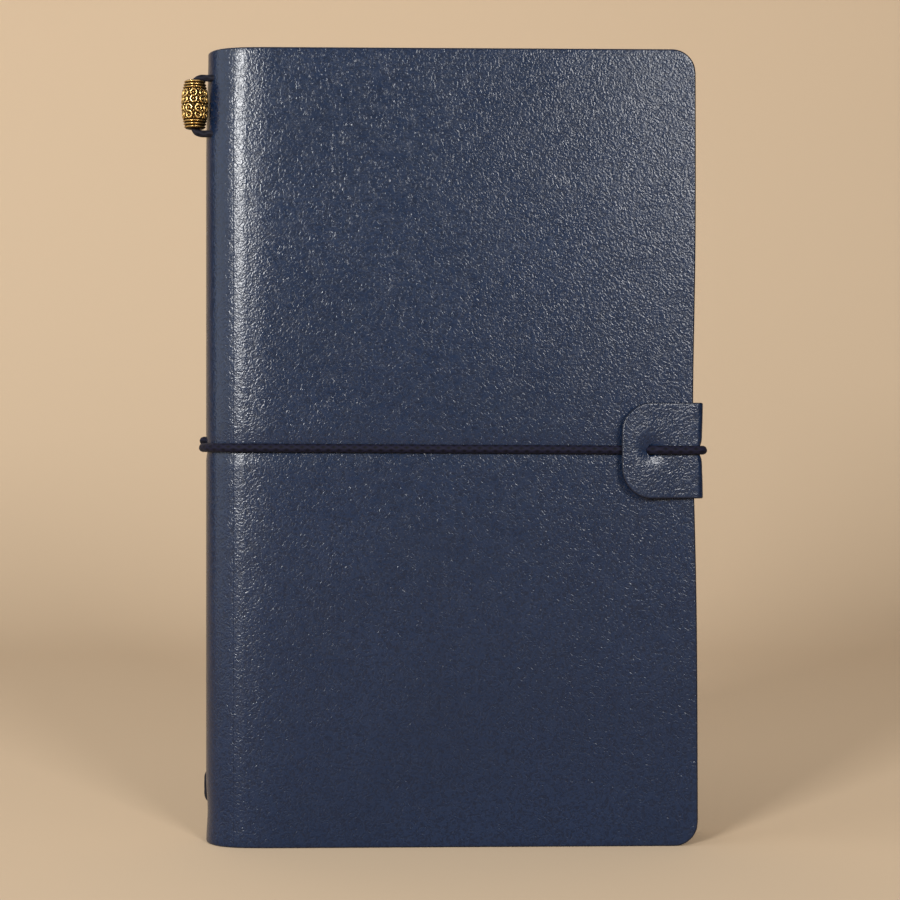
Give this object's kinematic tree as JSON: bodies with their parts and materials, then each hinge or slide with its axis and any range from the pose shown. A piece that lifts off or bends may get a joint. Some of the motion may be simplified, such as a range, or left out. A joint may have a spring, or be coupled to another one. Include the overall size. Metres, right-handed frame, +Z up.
{
  "type": "pilot logbook",
  "caption": "Refillable flight logbook: navy leatherette cover, stapled booklets on an elastic binding cord, elastic closure with a fore-edge tab, and a bronze bead on the spine.",
  "frame": {"origin": "under the middle of the whole object, on the surface that its tail edge stands on", "axes": "+X from the spine to the fore-edge, front cover towards -Y, +Z up along the spine"},
  "size_m": [0.1328, 0.0312, 0.2],
  "materials": {
    "navy_leather": "pebbled, satin",
    "cover_lining": "matt, brushed",
    "paper": "matt",
    "kraft_card": "matt",
    "staple_wire": "drawn wire",
    "antique_bronze": "antiqued, worn high spots",
    "navy_elastic": "braided"
  },
  "bodies": {
    "spine": {"spine_skin": "navy_leather", "spine_lining": "cover_lining", "binding_cord": "navy_elastic", "binding_knots": "navy_elastic", "closure_knot": "navy_elastic"},
    "front_cover": {"front_cover_skin": "navy_leather", "front_cover_lining": "cover_lining"},
    "back_cover": {"back_cover_skin": "navy_leather", "back_cover_lining": "cover_lining"},
    "closure": {"closure_elastic": "navy_elastic", "closure_tab": "navy_leather"},
    "bead": {"charm_bead": "antique_bronze"},
    "booklet_1_front": {"booklet_1_front_card": "kraft_card", "booklet_1_front_leaves": "paper"},
    "booklet_1_back": {"booklet_1_back_card": "kraft_card", "booklet_1_back_leaves": "paper", "booklet_1_staples": "staple_wire"},
    "booklet_2_front": {"booklet_2_front_card": "kraft_card", "booklet_2_front_leaves": "paper"},
    "booklet_2_back": {"booklet_2_back_card": "kraft_card", "booklet_2_back_leaves": "paper", "booklet_2_staples": "staple_wire"},
    "booklet_3_front": {"booklet_3_front_card": "kraft_card", "booklet_3_front_leaves": "paper"},
    "booklet_3_back": {"booklet_3_back_card": "kraft_card", "booklet_3_back_leaves": "paper", "booklet_3_staples": "staple_wire"}
  },
  "joints": [
    {"name": "front_cover_hinge", "type": "hinge", "parent": "spine", "child": "front_cover", "pos_m": [-0.04947, -0.011, 0], "axis": [0, 0, -1], "range_deg": [0, 150]},
    {"name": "back_cover_hinge", "type": "hinge", "parent": "spine", "child": "back_cover", "pos_m": [-0.04947, 0.011, 0], "axis": [0, 0, 1], "range_deg": [0, 150]},
    {"name": "closure_swing", "type": "hinge", "parent": "spine", "child": "closure", "pos_m": [-0.06162, 0, 0], "axis": [0, 0, 1], "range_deg": [0, 180], "deforming": ["closure_elastic", "closure_tab"]},
    {"name": "bead_turn", "type": "hinge", "parent": "spine", "child": "bead", "pos_m": [-0.06298, -0.0058, 0.186], "axis": [0, 0, 1], "continuous": true},
    {"name": "booklet_1_front_turn", "type": "hinge", "parent": "spine", "child": "booklet_1_front", "pos_m": [-0.04497, -0.0058, 0], "axis": [0, 0, -1], "range_deg": [0, 93]},
    {"name": "booklet_1_back_turn", "type": "hinge", "parent": "spine", "child": "booklet_1_back", "pos_m": [-0.04497, -0.0058, 0], "axis": [0, 0, -1], "range_deg": [0, 67.5]},
    {"name": "booklet_2_front_turn", "type": "hinge", "parent": "spine", "child": "booklet_2_front", "pos_m": [-0.04497, 0, 0], "axis": [0, 0, -1], "range_deg": [0, 37.5]},
    {"name": "booklet_2_back_turn", "type": "hinge", "parent": "spine", "child": "booklet_2_back", "pos_m": [-0.04497, 0, 0], "axis": [0, 0, -1], "range_deg": [0, 25.5]},
    {"name": "booklet_3_front_turn", "type": "hinge", "parent": "spine", "child": "booklet_3_front", "pos_m": [-0.04497, 0.0058, 0], "axis": [0, 0, -1], "range_deg": [0, 13.5]},
    {"name": "booklet_3_back_turn", "type": "hinge", "parent": "spine", "child": "booklet_3_back", "pos_m": [-0.04497, 0.0058, 0], "axis": [0, 0, -1], "range_deg": [0, 6]}
  ],
  "couplings": [
    {"joint": "closure_swing", "follows": "front_cover_hinge", "ratio": 1.2},
    {"joint": "booklet_1_front_turn", "follows": "front_cover_hinge", "ratio": 0.62},
    {"joint": "booklet_1_back_turn", "follows": "front_cover_hinge", "ratio": 0.45},
    {"joint": "booklet_2_front_turn", "follows": "front_cover_hinge", "ratio": 0.25},
    {"joint": "booklet_2_back_turn", "follows": "front_cover_hinge", "ratio": 0.17},
    {"joint": "booklet_3_front_turn", "follows": "front_cover_hinge", "ratio": 0.09},
    {"joint": "booklet_3_back_turn", "follows": "front_cover_hinge", "ratio": 0.04}
  ]
}
